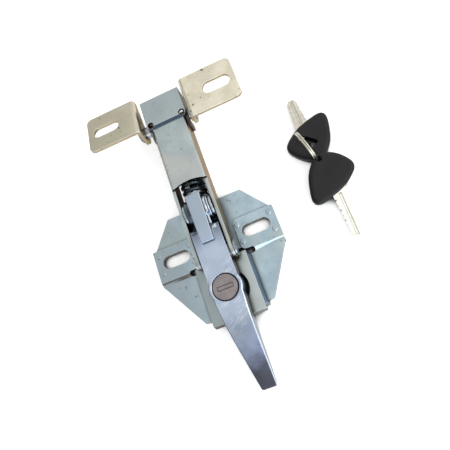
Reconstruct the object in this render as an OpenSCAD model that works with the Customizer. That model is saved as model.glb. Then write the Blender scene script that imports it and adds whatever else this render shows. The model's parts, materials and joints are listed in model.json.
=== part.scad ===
/* [Base] */
// Thickness of the two base sheets
sheet = 2.2; // [1.5:0.1:3]
// Distance between the two base slots
slot_spacing = 57; // [52:0.5:64]
// Width of the mounting slots
slot_w = 8.6; // [6.6:0.2:9]
// Length of the mounting slots, end to end
slot_len = 19.4; // [14:0.2:22]
// Half width of the base over the pads
base_half_w = 43.2; // [41:0.2:50]
// Half width of the base along its upper edge
base_top_half_w = 27; // [20:0.5:34]
// Upper edge of the base, from the slot line
base_top_y = 29.5; // [28:0.5:36]
// Upper edge of the slotted pads, from the slot line
pad_top_y = 10.3; // [8:0.1:14]
// Lower edge of the slotted pads, from the slot line
pad_low_y = -11; // [-14:0.1:-8]
// Inner edge of the slotted pads, from the middle
pad_inner_x = 15; // [14.2:0.1:16.5]
// Lower edge of the lower wings
wing_low_y = -46.5; // [-50:0.5:-44]
// Half width of the lower wings along their lower edge
wing_low_half_w = 23.3; // [22:0.1:30]
// Thickness of the pivot bracket on the under sheet
bracket_sheet = 1.5; // [1.2:0.1:1.7]

/* [Raised channel] */
// Half width of the raised channel across its top
channel_half_w = 17.4; // [16:0.1:18.5]
// How far each channel wall leans out
channel_lean = 2.2; // [0:0.1:3]
// Height of the channel top above the mounting face
channel_h = 10; // [9:0.1:10.2]
// Lower end of the channel
channel_low_y = -52.5; // [-56:0.5:-50]
// Radius of the round hole for the lock boss
cam_hole_r = 12.4; // [12:0.1:12.8]

/* [Handle] */
// Handle pivot, from the slot line
pivot_y = 19.5; // [18:0.1:21]
// Handle pivot, above the mounting face
pivot_z = 18.4; // [17:0.1:20]
// Radius of the handle hub
hub_r = 9; // [8:0.1:9.4]
// Half width of the handle hub
hub_half_w = 7.8; // [6.5:0.1:8]
// Half width of the handle at its shoulders
grip_half_w = 9.4; // [8.8:0.1:9.6]
// Half width of the handle tip
tip_half_w = 5; // [4:0.1:7]
// How far the handle tip leans to +X
tip_shift = 1.8; // [0:0.1:3]
// Handle shoulders, from the slot line
shoulder_y = 3; // [0:0.1:4]
// Handle tip, from the slot line
tip_y = -95; // [-110:0.5:-88]
// Top of the handle at the shoulders, above the mounting face
shoulder_z = 25.6; // [24:0.1:26.5]
// Top of the handle at the tip, above the mounting face
tip_z = 2.8; // [2.5:0.1:8]
// Half width of the raised tongue at its lower end
tongue_half_w = 4.1; // [3.5:0.1:5.5]
// Half width of the raised tongue at its upper end
tongue_top_half_w = 4.9; // [3.5:0.1:5.5]
// Lower end of the tongue
tongue_low_y = -4.3; // [-7:0.1:-2]
// Top of the tongue, above the mounting face
tongue_z = 28.4; // [27.8:0.1:29]
// Wall of the hollow grip
grip_wall = 2.4; // [1.8:0.1:3]

/* [Key cylinder] */
// Lock axis, from the slot line
lock_y = -33; // [-34:0.1:-32]
// Lock face, above the mounting face
lock_z = 22.4; // [21.5:0.1:23]
// Radius of the lock face
face_r = 8; // [7.4:0.1:8.4]
// Radius of the turning plug
plug_r = 7; // [6.6:0.1:7.2]
// Wall of the barrel
barrel_wall = 1.6; // [1.2:0.1:1.8]
// Wall of the lock boss
boss_wall = 1.9; // [1.5:0.1:2.1]
// Length of the key slot
keyway_len = 9.9; // [8:0.1:10.2]
// Width of the key slot
keyway_w = 2.5; // [2:0.1:2.8]
// Thickness of the locking cam
cam_t = 2.2; // [1.6:0.1:2.4]
// Half width of the locking cam
cam_half_w = 4; // [3.4:0.1:4.4]

/* [Arm] */
// Thickness of the arm sheet
arm_sheet = 2.1; // [1.6:0.1:2.3]
// Half width of the arm over its flanges
arm_half_w = 12.4; // [12.2:0.1:13.4]
// Depth of the arm flanges
arm_depth = 15.5; // [12:0.1:16.5]
// Top of the arm web, above the mounting face
arm_z = 24.4; // [23:0.1:25]
// Lower cut of the arm web
web_low_y = 38; // [36:0.2:44]
// Upper end of the arm channel, at the joggle
web_top_y = 83; // [81:0.5:84]
// Arm pivot, from the slot line
arm_pivot_y = -11; // [-13:0.1:-10]
// Arm pivot, above the mounting face
arm_pivot_z = 16.4; // [16.2:0.1:17]
// Radius of the round flange ends
arm_lobe_r = 6; // [5:0.1:6]
// Far edge of the hook head
head_top_y = 107; // [104:0.5:112]
// Half width of the hook head
head_half_w = 14.4; // [13.2:0.1:15]
// Rise of the hook head above the arm web
head_rise = 2.4; // [1:0.1:3]
// Radius of the corner reliefs beside the joggle
relief_r = 2.2; // [1.6:0.1:2.6]
// Depth of the hook nose below the keeper pin axis
nose_drop = 5; // [3:0.1:8]

/* [Spring] */
// Outer diameter of the throw spring
spring_d = 17; // [12:0.2:18.4]
// Wire diameter of the throw spring
spring_wire = 2.6; // [1.8:0.1:3]
// Turns of the throw spring
spring_turns = 5.5; // [4:0.5:7]
// Length of the throw spring
spring_len = 27; // [22:0.5:30]

/* [Keeper] */
// Keeper pin, from the slot line
keeper_y = 89; // [88:0.1:90]
// Keeper pin, above the mounting face
keeper_z = 17.9; // [17:0.1:18.2]
// Radius of the keeper pin
keeper_pin_r = 4; // [3:0.1:4]
// Thickness of the keeper brackets
keeper_sheet = 2.5; // [2:0.1:3]
// Outer face of each keeper ear, from the middle
ear_outer_x = 18.8; // [18.2:0.1:20]
// Length of each keeper tab across
tab_len = 35; // [31:0.1:40]
// Width of each keeper tab
tab_w = 31; // [26:0.1:34]
// Top of the keeper tabs, above the mounting face
tab_z = 30.4; // [29:0.1:34]
// Middle of the keeper tabs, from the slot line
tab_y = 93.6; // [92:0.1:96]
// Middle of the keeper slots, from the middle
tab_slot_x = 40; // [37:0.1:42]
// Radius of the keeper ears' round ends
ear_r = 7.5; // [6.6:0.1:10]
// How far the loose left bracket hangs back, in degrees
left_tilt = 13; // [0:1:18]
// How far the loose left bracket has slid out along its pin
left_slide = 2; // [0:0.1:3]
// How far the left tab reaches further along than the right one
left_tab_shift = 3; // [0:0.1:4]

/* [Keys] */
// Thickness of the key bows
bow_t = 5.6; // [5:0.1:6.4]
// Corner radius of the key bows
bow_r = 3.7; // [3.2:0.1:4.4]
// How far the sides of the key bows bulge
bow_bulge = 2.4; // [1:0.1:3.2]
// Thickness of the key blades
blade_t = 2.2; // [1.6:0.1:2.3]
// Width of the key blades
blade_w = 9.4; // [7.5:0.1:9.7]
// Width of the key blades at their tips
blade_tip_w = 7; // [6:0.1:7.4]
// Bare length of the upper key's blade
blade_len_1 = 20.5; // [18:0.5:34]
// Bare length of the lower key's blade
blade_len_2 = 29.5; // [28:0.5:34]
// Mean radius of the split ring
ring_r = 10.6; // [10.5:0.1:12]
// Wire diameter of the split ring
ring_wire = 1.2; // [0.9:0.1:1.5]

/* [Hidden] */
$fn = 64;

// Clearances
seat_gap = 0.02;
running_gap = 0.06;
side_gap = 0.4;
free_gap = 0.6;
over = 1;
joined = 0.01;

// Base
pad_z = 2*sheet;
slot_r = slot_w/2;
slot_reach = slot_len/2 - slot_r;
slot_x = slot_spacing/2;
corner_r = 3;
ear_side_gap = 0.3;
ear_gap_x = hub_half_w + ear_side_gap;
ear_out_x = ear_gap_x + bracket_sheet;
bracket_top_z = sheet + bracket_sheet;
bracket_bend_r = bracket_sheet + 0.8;
ear_inset = 1.5;
ear_end_r = hub_r - ear_inset;
ear_half_len = hub_r;
plate_low_y = pad_low_y + sheet;
step_y = pad_low_y - sheet;
wall_foot_x = channel_half_w + channel_lean;
channel_top_y = pad_low_y - sheet;
channel_wall = 1.1*sheet;
relief_slot_r = 1.8;
relief_slot_x = wall_foot_x + 1.6;
dimple_r = 1.9;
dimple_h = 0.5;
dimple_x = [pad_inner_x + 2.4, base_half_w - 3.6];
dimple_y = 6;
end_wall_foot = 3.2;

// Pins
pivot_r = 4;
bush_r = 5.4;
head_t = 0.2;
pivot_head_r = 5.8;
arm_in_x = arm_half_w - arm_sheet;
arm_pin_r = 3.5;
washer_t = arm_in_x - grip_half_w - side_gap;
ring_t = 1;

// Handle
tip_t = 2.4;
grip_low_z = channel_h + free_gap;
land_half = face_r + 2;
bend_len = 24;
neck_half_w = 5.4;
neck_low_z = arm_pivot_z - 5;
shoulder_r = 1.6;
shoulder_roll = 4.5;
roll_steps = 6;
tip_corner = 0.9;
tongue_edge = 0.6;
hollow_end = 5;
bend_steps = 8;

// Key cylinder
cam_top_z = channel_h - sheet - free_gap;
barrel_r = plug_r + running_gap + barrel_wall;
boss_r = barrel_r + seat_gap + boss_wall;
boss_low_z = cam_top_z + 1;
cap_t = 1.5;
cap_low_z = lock_z - cap_t;
cap_gap = 0.25;
barrel_top_z = cap_low_z - 0.2;
barrel_low_z = cam_top_z + 0.2;
plug_low_z = cam_top_z;
cam_slot_half_w = cam_half_w + 1.2;
wafer_t = 1;
wafer_pitch = 2.1;
wafer_count = 4;
wafer_len = 11.6;
wafer_w = 6.8;
wafer_gap = 0.1;
shutter_t = 0.8;
shutter_gap = 0.1;
shutter_hinge_r = 0.4;
shutter_sink = 0.25;
shutter_y = lock_y - keyway_w/2 + shutter_hinge_r + shutter_gap;
shutter_z = lock_z - shutter_sink - shutter_hinge_r;
pocket_depth = keyway_w + 0.8;
washer_plate_t = 0.6;
cam_screw_r = 2;
cam_head_t = 1.8;
cam_low_z = cam_top_z - cam_t;
cam_reach = channel_half_w - channel_wall - side_gap;
barrel_screw_r = 1.5;
barrel_screw_len = boss_wall - 0.2;

// Arm and hook
arm_bend_r = 1.8;
head_z = arm_z + head_rise;
head_low_z = head_z - arm_sheet;
joggle_len = 3.4;
hook_gap = 0.45;
notch_r = keeper_pin_r + hook_gap;
relief_rim = 0.7;
relief_x = head_half_w - relief_r - relief_rim;
relief_y = web_top_y + joggle_len + 1.1;
head_corner_r = 1.4;
lug_x = head_half_w - arm_sheet;
lug_back = 10;
lug_back_drop = 8;
lug_entry = 0.9;
nose_r = 3;

// Spring group, clear of the tongue's swing about the arm pivot
tongue_top_y = pivot_y + hub_r + 0.3;
tongue_swing_r = norm([tongue_top_y - arm_pivot_y, tongue_z - arm_pivot_z]);
plunger_y = arm_pivot_y + tongue_swing_r + side_gap;
plunger_t = 1.4;
spring_z = arm_z - arm_sheet - side_gap - spring_d/2;
spring_y = plunger_y + plunger_t;
seat_y = spring_y + spring_len;
rod_r = 2.8;
rod_tail = 6;
coil_steps = 18;
wire_sides = 8;

// Keeper
ear_in_x = ear_outer_x - keeper_sheet;
bend_r = 3;
ring_face_x = ear_outer_x + left_slide + side_gap;
keeper_tip_x = ring_face_x + 2;
keeper_head_r = 5.4;

// Keys: each has its blade along +Y from the bow's root, and the second leans on the first
key_1_at = [81.6, 53.8];
key_2_at = [85.2, 0.6];
key_2_lean = 8.8;
bow_corners = [[14.1, 0.1], [-12.2, -12.3], [2.9, -24.3]];
bow_side_r = 3*bow_r;
apex_hole = [3.4, -24];
apex_hole_r = 2;
tee_bar_ends = [[-4.8, -8.2], [3.4, -15.6]];
tee_stem_end = [-1.4, -17.8];
tee_r = 1.7;
blade_root = 9;
blade_z = bow_t/2 - blade_t/2;
ring_from = key_2_at - apex_hole;
ring_to = key_1_at + tee_bar_ends[0];
ring_lean = 8;
ring_gap = 0.4;

// Flat outline of a slot along X
module slot_outline(r, reach) {
    for (s = [-1, 1]) translate([s*reach, 0]) circle(r);
    square([2*reach, 2*r], center = true);
}

// Extrudes a y-z outline along X, from x0 to x1
module side_extrude(x0, x1) {
    translate([x0, 0, 0]) rotate([90, 0, 90]) linear_extrude(x1 - x0) children();
}

// Cylinder along X
module x_rod(r, x0, x1) {
    translate([x0, 0, 0]) rotate([0, 90, 0]) cylinder(r = r, h = x1 - x0);
}

// Ring along X
module x_ring(r_out, r_in, x0, x1) {
    difference() {
        x_rod(r_out, x0, x1);
        x_rod(r_in, x0 - over, x1 + over);
    }
}

module both_sides() {
    children();
    mirror([1, 0, 0]) children();
}

module mounting_slots() {
    for (s = [-1, 1]) translate([s*slot_x, 0, -over])
        linear_extrude(pad_z + 2*over) slot_outline(slot_r, slot_reach);
}

// Under sheet: upper wings and the pads' backing
module mounting_plate() color("#9fb0b8") difference() {
    linear_extrude(sheet) plate_outline();
    mounting_slots();
}

module plate_outline() {
    polygon([[-base_half_w, plate_low_y], [base_half_w, plate_low_y], [base_half_w, pad_top_y - 2],
        [base_top_half_w, base_top_y], [-base_top_half_w, base_top_y], [-base_half_w, pad_top_y - 2]]);
}

// U-bracket welded on the under sheet, whose two ears carry the handle
module pivot_bracket() color("#9fb0b8") difference() {
    intersection() {
        translate([0, pivot_y + ear_half_len, 0]) rotate([90, 0, 0])
            linear_extrude(2*ear_half_len) bracket_section();
        side_extrude(-ear_out_x - over, ear_out_x + over) ear_outline();
    }
    translate([0, pivot_y, pivot_z]) x_rod(pivot_r + seat_gap, -arm_half_w, arm_half_w);
}

// Cross-section of the U-bracket with round outer bends
module bracket_section() {
    bend = bracket_bend_r;
    ear_top_z = pivot_z + ear_end_r;
    difference() {
        union() {
            translate([-ear_out_x, sheet + bend]) square([2*ear_out_x, ear_top_z - sheet - bend]);
            translate([-ear_out_x + bend, sheet]) square([2*(ear_out_x - bend), bend + joined]);
            for (s = [-1, 1]) translate([s*(ear_out_x - bend), sheet + bend]) circle(bend);
        }
        translate([-ear_gap_x, bracket_top_z]) square([2*ear_gap_x, ear_top_z]);
    }
}

module ear_outline() {
    translate([pivot_y, pivot_z]) circle(ear_end_r);
    polygon([[pivot_y - ear_half_len, sheet - over], [pivot_y + ear_half_len, sheet - over],
        [pivot_y + ear_half_len, pad_z + sheet], [pivot_y + ear_end_r, pivot_z],
        [pivot_y - ear_end_r, pivot_z], [pivot_y - ear_half_len, pad_z + sheet]]);
}

// Upper sheet: slotted pads, lower wings stepped down one sheet, raised channel
module lock_pan() color("#a8b8be") {
    difference() {
        union() {
            both_sides() {
                pan_pad();
                pan_wing();
            }
            pan_channel();
        }
        mounting_slots();
        both_sides() relief_slot();
        cam_hole();
    }
    both_sides() for (x = dimple_x, s = [-1, 1])
        translate([x, s*dimple_y, pad_z]) weld_dimple();
}

module weld_dimple() {
    cylinder(r1 = dimple_r, r2 = dimple_r - dimple_h, h = dimple_h);
}

module pan_pad() {
    // Flat pad with round inner corners
    translate([0, 0, sheet]) linear_extrude(sheet) {
        translate([pad_inner_x + corner_r, pad_low_y])
            square([base_half_w - pad_inner_x - corner_r, pad_top_y - pad_low_y]);
        translate([pad_inner_x, pad_low_y + corner_r])
            square([corner_r, pad_top_y - pad_low_y - 2*corner_r]);
        for (y = [pad_low_y + corner_r, pad_top_y - corner_r])
            translate([pad_inner_x + corner_r, y]) circle(corner_r);
    }
    // Step from the pad down to the wing
    side_extrude(relief_slot_x, base_half_w)
        polygon([[pad_low_y, pad_z], [pad_low_y, sheet], [step_y, 0], [step_y - sheet, 0],
            [step_y - sheet/2, sheet], [pad_low_y - sheet/2, pad_z]]);
}

module pan_wing() {
    wing_top_y = step_y - sheet/2;
    linear_extrude(sheet)
        polygon([[wall_foot_x - sheet, wing_top_y], [base_half_w, wing_top_y],
            [wing_low_half_w, wing_low_y], [wall_foot_x - sheet, wing_low_y]]);
}

// Hat section of the channel, open below, with its lower end bent down
module pan_channel() {
    translate([0, channel_top_y, 0]) rotate([90, 0, 0])
        linear_extrude(channel_top_y - channel_low_y - end_wall_foot) channel_section();
    side_extrude(-channel_half_w, channel_half_w)
        polygon([[channel_low_y + end_wall_foot + joined, channel_h],
            [channel_low_y + end_wall_foot + joined, channel_h - sheet],
            [channel_low_y + sheet, pad_z], [channel_low_y, pad_z],
            [channel_low_y + end_wall_foot - sheet, channel_h]]);
}

module channel_section() {
    wall = channel_wall;
    difference() {
        polygon([[-channel_half_w, channel_h], [channel_half_w, channel_h],
            [wall_foot_x, 0], [-wall_foot_x, 0]]);
        polygon([[-channel_half_w + wall, channel_h - sheet], [channel_half_w - wall, channel_h - sheet],
            [wall_foot_x - wall, -over], [-wall_foot_x + wall, -over]]);
    }
}

// Slot that frees the channel's corner from the pad
module relief_slot() {
    translate([0, pad_low_y - relief_slot_r, -over]) linear_extrude(channel_h + 2*over) {
        translate([relief_slot_x, 0]) circle(relief_slot_r);
        translate([pad_inner_x + corner_r, -relief_slot_r])
            square([relief_slot_x - pad_inner_x - corner_r, 2*relief_slot_r]);
    }
}

// Round hole for the lock boss, open towards the hook so that the cam can lift out
module cam_hole() {
    translate([0, lock_y - 0.3, channel_h - sheet - over]) {
        cylinder(r = cam_hole_r, h = sheet + 2*over);
        translate([-cam_slot_half_w, 0, 0])
            cube([2*cam_slot_half_w, channel_top_y - lock_y + over, sheet + 2*over]);
    }
}

// Handle pivot, riveted into the ears
module pivot_pin() color("#8d9296") translate([0, pivot_y, pivot_z]) {
    x_rod(pivot_r, -ear_out_x - head_t, ear_out_x + head_t);
    both_sides() x_rod(pivot_head_r, ear_out_x, ear_out_x + head_t);
}

module hub_bushes() color("#b08d4a") translate([0, pivot_y, pivot_z]) both_sides()
    x_ring(bush_r, pivot_r + running_gap, 1, hub_half_w);

// Die-cast lever: hub, tongue, grip that bends down to the tip, and lock boss
module handle() color("#b4bfca") difference() {
    union() {
        intersection() {
            side_extrude(-grip_half_w - 2, grip_half_w + 2) grip_profile();
            linear_extrude(tongue_z + over) grip_outline();
        }
        translate([0, lock_y, boss_low_z]) cylinder(r = boss_r, h = lock_z - boss_low_z);
        translate([0, pivot_y, pivot_z]) x_rod(hub_r, -hub_half_w, hub_half_w);
        side_extrude(-neck_half_w, neck_half_w) neck_profile();
        intersection() {
            side_extrude(-grip_half_w, grip_half_w) tongue_profile();
            linear_extrude(tongue_z + over) tongue_outline();
        }
    }
    grip_hollow();
    translate([0, pivot_y, pivot_z]) x_rod(bush_r + seat_gap, -grip_half_w, grip_half_w);
    translate([0, arm_pivot_y, arm_pivot_z]) x_rod(arm_pin_r + seat_gap, -arm_half_w, arm_half_w);
    translate([0, lock_y, 0]) {
        translate([0, 0, boss_low_z - over])
            cylinder(r = barrel_r + seat_gap, h = barrel_top_z + seat_gap - boss_low_z + over);
        translate([0, 0, boss_low_z]) cylinder(r = face_r + cap_gap, h = lock_z);
    }
    barrel_screw_place() cylinder(r = barrel_screw_r + seat_gap, h = 2*boss_wall + over);
}

// Height of the handle's top at y: a ramp, a level land at the lock, a bend and a straight slope
function bend_z(y) =
    let (y0 = lock_y - land_half, y1 = y0 - bend_len, fall = (lock_z - tip_z)/(y0 - tip_y - bend_len/2))
    y > y1 ? lock_z - fall*(y0 - y)*(y0 - y)/(2*bend_len) : lock_z - fall*(y0 - y - bend_len/2);

module grip_profile() {
    land_top_y = lock_y + land_half;
    land_low_y = lock_y - land_half;
    bend_points = [for (i = [0:bend_steps]) let (y = land_low_y - i*bend_len/bend_steps) [y, bend_z(y)]];
    roll_points = [for (i = [roll_steps:-1:0]) let (a = 90*i/roll_steps)
        [shoulder_y + shoulder_roll*sin(a), shoulder_z - shoulder_roll*(1 - cos(a))]];
    polygon(concat([[shoulder_y, grip_low_z]], roll_points, [[land_top_y, lock_z]], bend_points,
        [[tip_y, tip_z], [tip_y, tip_z - tip_t], [channel_low_y - 2, grip_low_z]]));
}

module grip_outline() {
    straight_low_y = lock_y - face_r;
    top_y = shoulder_y + shoulder_roll;
    polygon([[-grip_half_w, straight_low_y], [-grip_half_w, top_y - shoulder_r],
        [-grip_half_w + shoulder_r, top_y], [grip_half_w - shoulder_r, top_y],
        [grip_half_w, top_y - shoulder_r], [grip_half_w, straight_low_y],
        [tip_shift + tip_half_w, tip_y + tip_corner], [tip_shift + tip_half_w - tip_corner, tip_y],
        [tip_shift - tip_half_w + tip_corner, tip_y], [tip_shift - tip_half_w, tip_y + tip_corner]]);
    for (s = [-1, 1]) translate([s*(grip_half_w - shoulder_r), top_y - shoulder_r]) circle(shoulder_r);
}

// Finger hollow under the grip
module grip_hollow() {
    hollow_top_y = lock_y - boss_r - 1;
    hollow_low_y = tip_y + hollow_end;
    hollow_len = hollow_top_y - hollow_low_y;
    hollow_half_w = grip_half_w - grip_wall;
    hollow_tip_half_w = tip_half_w - grip_wall + 0.6;
    lean = tip_shift*hollow_len/(hollow_top_y - tip_y);
    intersection() {
        side_extrude(-grip_half_w, grip_half_w)
            polygon(concat([[hollow_top_y, 0], [hollow_top_y, bend_z(hollow_top_y) - grip_wall]],
                [for (i = [0:bend_steps]) let (y = hollow_top_y - i*hollow_len/bend_steps)
                    [y, bend_z(y) - grip_wall]],
                [[hollow_low_y, -over]]));
        linear_extrude(lock_z)
            polygon([[-hollow_half_w, hollow_top_y + over], [hollow_half_w, hollow_top_y + over],
                [lean + hollow_tip_half_w, hollow_low_y], [lean - hollow_tip_half_w, hollow_low_y]]);
    }
}

module neck_profile() {
    polygon([[shoulder_y - 2, neck_low_z],
        [pivot_y, pivot_z - hub_r + 1.5], [pivot_y, pivot_z + hub_r - 1],
        [shoulder_y + 5, shoulder_z - 3], [shoulder_y - 2, shoulder_z - 0.5]]);
}

module tongue_profile() {
    e = tongue_edge;
    polygon([[tongue_low_y, shoulder_z - 3], [tongue_low_y, tongue_z - e], [tongue_low_y + e, tongue_z],
        [tongue_top_y - e, tongue_z], [tongue_top_y, tongue_z - e], [tongue_top_y - e, pivot_z],
        [pivot_y, pivot_z]]);
}

module tongue_outline() {
    polygon([[-tongue_half_w, tongue_low_y], [-tongue_top_half_w, tongue_top_y],
        [tongue_top_half_w, tongue_top_y], [tongue_half_w, tongue_low_y]]);
}

// Arm pivot through the handle, its spacers and its retainers
module arm_pin() color("#8d9296") translate([0, arm_pivot_y, arm_pivot_z])
    x_rod(arm_pin_r, -arm_half_w - side_gap - ring_t, arm_half_w + side_gap + ring_t);

module arm_pin_washers() color("#8d9296") translate([0, arm_pivot_y, arm_pivot_z]) both_sides()
    x_ring(arm_pin_r + 1.9, arm_pin_r + seat_gap, grip_half_w, grip_half_w + washer_t);

module arm_pin_rings() color("#5c6166") translate([0, arm_pivot_y, arm_pivot_z]) both_sides()
    x_ring(arm_pin_r + 1.8, arm_pin_r + seat_gap, arm_half_w + side_gap, arm_half_w + side_gap + ring_t);

// Sleeve of the key cylinder
module lock_barrel() color("#9a9da0") translate([0, lock_y, barrel_low_z]) difference() {
    cylinder(r = barrel_r, h = barrel_top_z - barrel_low_z);
    translate([0, 0, -over]) cylinder(r = plug_r + running_gap, h = barrel_top_z - barrel_low_z + 2*over);
}

// From the barrel's side outwards, halfway up the boss
module barrel_screw_place() {
    translate([0, lock_y - barrel_r, (boss_low_z + cap_low_z)/2]) rotate([90, 0, 0]) children();
}

// Grub screw that holds the barrel in the boss
module barrel_screw() color("#5c6166") barrel_screw_place()
    translate([0, 0, seat_gap]) cylinder(r = barrel_screw_r, h = barrel_screw_len);

// Turning plug with its face, key slot and wafer pockets
module lock_plug() color("#8f8a8c") translate([0, lock_y, 0]) difference() {
    union() {
        translate([0, 0, plug_low_z]) cylinder(r = plug_r, h = lock_z - plug_low_z);
        translate([0, 0, cap_low_z]) cylinder(r = face_r, h = cap_t);
    }
    keyway_low_z = plug_low_z + 3.4;
    translate([-keyway_len/2, -keyway_w/2, keyway_low_z]) cube([keyway_len, keyway_w, lock_z]);
    // Room for the shutter to swing down beside the key
    translate([-keyway_len/2, -keyway_w/2 - 1, lock_z - shutter_sink - 2*shutter_hinge_r - pocket_depth])
        cube([keyway_len, keyway_w + 1, pocket_depth]);
    translate([0, shutter_y - lock_y, shutter_z])
        x_rod(shutter_hinge_r + 0.05, -keyway_len/2 - 0.7, keyway_len/2 + 0.7);
    for (i = [0:wafer_count - 1]) translate([0, 0, wafer_z(i)])
        cube([wafer_len + 2*wafer_gap, wafer_w + 2*wafer_gap, wafer_t + 2*wafer_gap], center = true);
    translate([0, 0, plug_low_z - over]) cylinder(r = cam_screw_r + seat_gap, h = 3 + over);
}

function wafer_z(i) = plug_low_z + 4.8 + i*wafer_pitch;

module wafer_tumblers() color("#c2a45a") for (i = [0:wafer_count - 1]) translate([0, lock_y, wafer_z(i)])
    difference() {
        cube([wafer_len, wafer_w, wafer_t], center = true);
        cube([keyway_len + 0.2, keyway_w + 0.2, 2*wafer_t], center = true);
    }

// Flap that closes the key slot, on its own trunnions
module dust_shutter() color("#858082") translate([0, shutter_y, shutter_z]) {
    x_rod(shutter_hinge_r, -keyway_len/2 - 0.6, keyway_len/2 + 0.6);
    translate([-keyway_len/2 + shutter_gap, 0, -shutter_hinge_r])
        cube([keyway_len - 2*shutter_gap, keyway_w - shutter_hinge_r - 2*shutter_gap, shutter_t]);
}

// Bolt of the lock, turning under the raised channel
module locking_cam() color("#9aa1a6") translate([0, lock_y, cam_low_z]) difference() {
    linear_extrude(cam_t) {
        circle(plug_r - 1);
        intersection() {
            translate([-cam_half_w, 0]) square([2*cam_half_w, cam_reach]);
            circle(cam_reach);
        }
    }
    translate([0, 0, -over]) cylinder(r = cam_screw_r + seat_gap, h = cam_t + 2*over);
}

module cam_washer() color("#8d9296") translate([0, lock_y, cam_low_z - washer_plate_t]) difference() {
    cylinder(r = cam_screw_r + 2.2, h = washer_plate_t);
    translate([0, 0, -over]) cylinder(r = cam_screw_r + seat_gap, h = washer_plate_t + 2*over);
}

module cam_screw() color("#5c6166") translate([0, lock_y, cam_low_z - washer_plate_t]) difference() {
    union() {
        translate([0, 0, -cam_head_t]) cylinder(r = cam_screw_r + 1.6, h = cam_head_t);
        cylinder(r = cam_screw_r, h = washer_plate_t + cam_t + 2.8);
    }
    translate([-0.5, -cam_screw_r - 2, -cam_head_t - over]) cube([1, 2*cam_screw_r + 4, over + 0.9]);
}

// U-channel with round pivot ends, joggled head and a hook lug on each side
module hook_arm() color("#a9b3b6") difference() {
    union() {
        translate([0, web_top_y, 0]) rotate([90, 0, 0])
            linear_extrude(web_top_y - web_low_y) arm_section();
        both_sides() {
            side_extrude(arm_in_x, arm_half_w) flange_profile();
            side_extrude(lug_x, head_half_w) lug_profile();
        }
        intersection() {
            side_extrude(-head_half_w, head_half_w) head_profile();
            linear_extrude(head_z + over) head_outline();
        }
    }
    both_sides() {
        translate([0, arm_pivot_y, arm_pivot_z])
            x_rod(arm_pin_r + running_gap, arm_in_x - over, arm_half_w + over);
        translate([relief_x, relief_y, arm_z - 2*arm_sheet]) cylinder(r = relief_r, h = 4*arm_sheet);
    }
    web_arch();
}

// Arched lower cut of the web, between the flanges
module web_arch() {
    arch_rise = 2;
    arch_r = (arm_in_x*arm_in_x + arch_rise*arch_rise)/(2*arch_rise);
    intersection() {
        translate([0, web_low_y + arch_rise - arch_r, arm_z - arm_sheet - joined])
            cylinder(r = arch_r, h = 2*arm_sheet);
        translate([-arm_in_x, web_low_y - over, 0]) cube([2*arm_in_x, arm_in_x, arm_z + over]);
    }
}

// Cross-section of the channel with round outer bends
module arm_section() {
    difference() {
        union() {
            translate([-arm_half_w, arm_z - arm_depth]) square([2*arm_half_w, arm_depth - arm_bend_r]);
            translate([-arm_half_w + arm_bend_r, arm_z - arm_bend_r])
                square([2*(arm_half_w - arm_bend_r), arm_bend_r]);
            for (s = [-1, 1]) translate([s*(arm_half_w - arm_bend_r), arm_z - arm_bend_r])
                circle(arm_bend_r);
        }
        translate([-arm_in_x, arm_z - arm_depth - over])
            square([2*arm_in_x, arm_depth - arm_sheet + over]);
    }
}

module flange_profile() {
    translate([arm_pivot_y, arm_pivot_z]) circle(arm_lobe_r);
    polygon([[arm_pivot_y, arm_pivot_z + arm_lobe_r], [arm_pivot_y, arm_pivot_z - arm_lobe_r],
        [pivot_y, arm_z - arm_depth], [web_low_y + 1, arm_z - arm_depth],
        [web_low_y + 1, arm_z - arm_bend_r], [web_low_y - 4, arm_z - 0.6]]);
}

// Hook lug: straddles the keeper pin, with its nose on the far side and a round lobe on the near side
module lug_profile() {
    nose_low_z = keeper_z - nose_drop;
    back_r = (lug_back - notch_r - lug_entry)/2;
    back_y = keeper_y - lug_back;
    back_low_z = keeper_z - lug_back_drop;
    difference() {
        union() {
            translate([keeper_y, keeper_z]) square([head_top_y - keeper_y, head_z - keeper_z]);
            translate([keeper_y, nose_low_z + nose_r])
                square([head_top_y - keeper_y, keeper_z - nose_low_z - nose_r + joined]);
            translate([keeper_y, nose_low_z]) square([head_top_y - keeper_y - nose_r, nose_r + joined]);
            translate([head_top_y - nose_r, nose_low_z + nose_r]) circle(nose_r);
            // Near side, up to the arm's flange
            translate([back_y, back_low_z + back_r])
                square([lug_back, keeper_z - back_low_z - back_r]);
            translate([back_y + back_r, back_low_z + back_r]) circle(back_r);
            polygon([[back_y, keeper_z - joined], [keeper_y + joined, keeper_z - joined],
                [keeper_y + joined, head_low_z], [keeper_y - notch_r, head_low_z - arm_sheet]]);
        }
        translate([keeper_y, keeper_z]) circle(notch_r);
        translate([keeper_y - notch_r - lug_entry, back_low_z - over])
            square([2*notch_r + lug_entry, keeper_z - back_low_z + over]);
    }
}

// Head from above: round corners, those at the joggle concentric with the reliefs
module head_outline() {
    r = head_corner_r;
    for (s = [-1, 1]) {
        translate([s*relief_x, relief_y]) circle(relief_r + relief_rim);
        translate([s*(head_half_w - r), head_top_y - r]) circle(r);
    }
    translate([-relief_x, web_top_y - over]) square([2*relief_x, relief_y - web_top_y + over]);
    translate([-head_half_w, relief_y]) square([2*head_half_w, head_top_y - relief_y - r]);
    translate([r - head_half_w, head_top_y - r - joined]) square([2*(head_half_w - r), r + joined]);
}

// Flat head plate and the joggle that raises it over the web
module head_profile() {
    y0 = web_top_y - joined;
    y1 = web_top_y + joggle_len;
    polygon([[y0, arm_z], [y1, head_z], [head_top_y, head_z], [head_top_y, head_low_z],
        [y1 + 0.6, head_low_z], [y0 + 0.6, arm_z - arm_sheet], [y0, arm_z - arm_sheet]]);
}

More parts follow.
